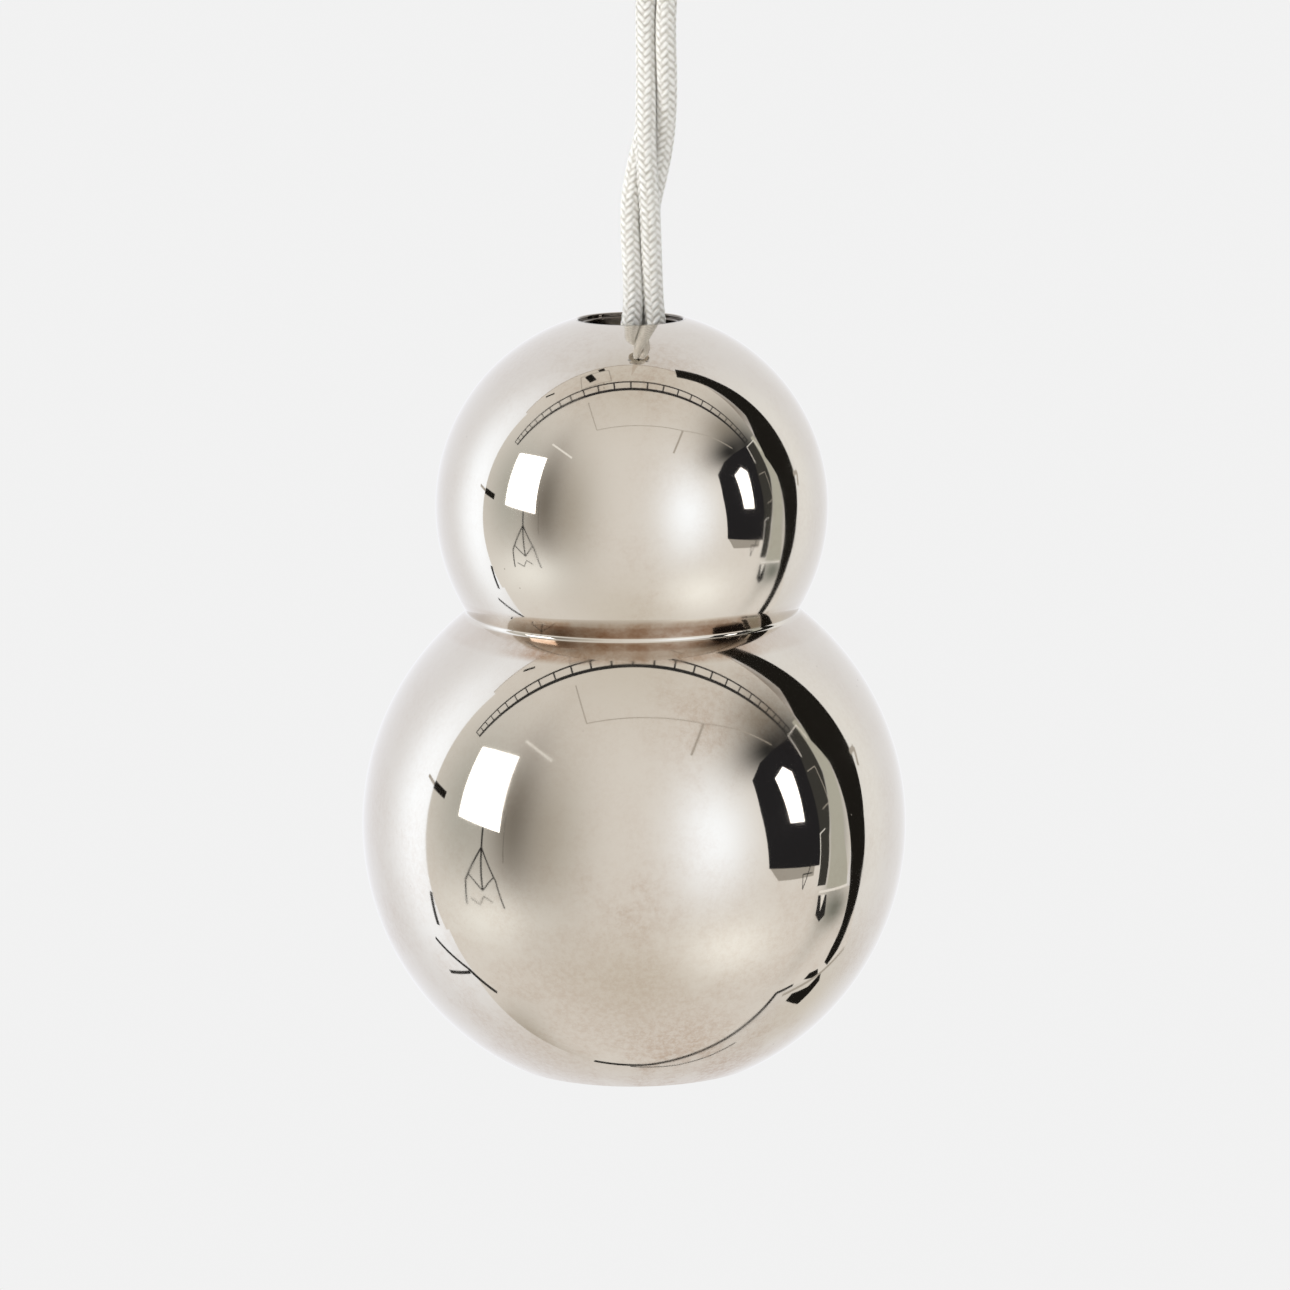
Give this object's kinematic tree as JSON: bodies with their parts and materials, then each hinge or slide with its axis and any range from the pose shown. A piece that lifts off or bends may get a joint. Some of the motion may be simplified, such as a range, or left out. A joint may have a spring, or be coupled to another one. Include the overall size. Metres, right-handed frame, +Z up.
{
  "type": "hanging counterweight",
  "caption": "Double-ball nickelled counterweight hung on falls of braided cord, with a ballasted body and an inner sheave.",
  "frame": {"origin": "centre of the hanging eye's hole, above the weight", "axes": "+Z up along the weight's height, +Y along the hanging eye's hole, +X to the right seen from the front"},
  "size_m": [0.14, 0.14, 0.3304],
  "materials": {
    "nickel_shell": "polished nickel plate, lightly tarnished",
    "brass_fitting": "turned, satin",
    "nickel_bush": "turned, satin nickel",
    "cast_ballast": "as cast, dark paint",
    "felt": "dense wool felt",
    "steel": "zinc-plated, satin",
    "steel_plate": "sheared and brushed plate",
    "bronze": "sintered bronze",
    "sheave_resin": "machined acetal",
    "braided_cord": "silky white braid",
    "hanger_nickel": "polished nickel plate"
  },
  "bodies": {
    "hanger": {"cord_socket": "hanger_nickel", "socket_screws": "steel", "hanging_eye": "hanger_nickel", "eye_nut": "hanger_nickel"},
    "weight": {"lower_shell_bottom": "nickel_shell", "lower_shell_top": "nickel_shell", "equator_sleeve": "brass_fitting", "neck_ring": "nickel_shell", "upper_shell": "nickel_shell", "guide_bush": "nickel_bush", "ballast_bottom": "cast_ballast", "ballast_top": "cast_ballast", "ballast_packing": "felt", "base_bolt": "steel", "carriage_foot": "steel_plate", "cheek_front": "steel_plate", "cheek_back": "steel_plate", "cheek_screws": "steel", "axle": "steel", "axle_clips": "steel", "thrust_washers": "sheave_resin", "becket_pin": "steel", "becket_clips": "steel", "dead_end_socket": "brass_fitting", "cord_running": "braided_cord", "cord_dead_end": "braided_cord"},
    "wheel": {"sheave": "sheave_resin", "sheave_bush": "bronze"}
  },
  "joints": [
    {"name": "weight_turn", "type": "hinge", "parent": "hanger", "child": "weight", "pos_m": [0, 0, -0.04], "axis": [0, 0, 1], "range_deg": [-120, 120], "deforming": ["cord_running", "cord_dead_end"]},
    {"name": "sheave_spin", "type": "hinge", "parent": "weight", "child": "wheel", "pos_m": [-0.0072, 0, -0.2364], "axis": [0, 1, 0], "continuous": true}
  ]
}
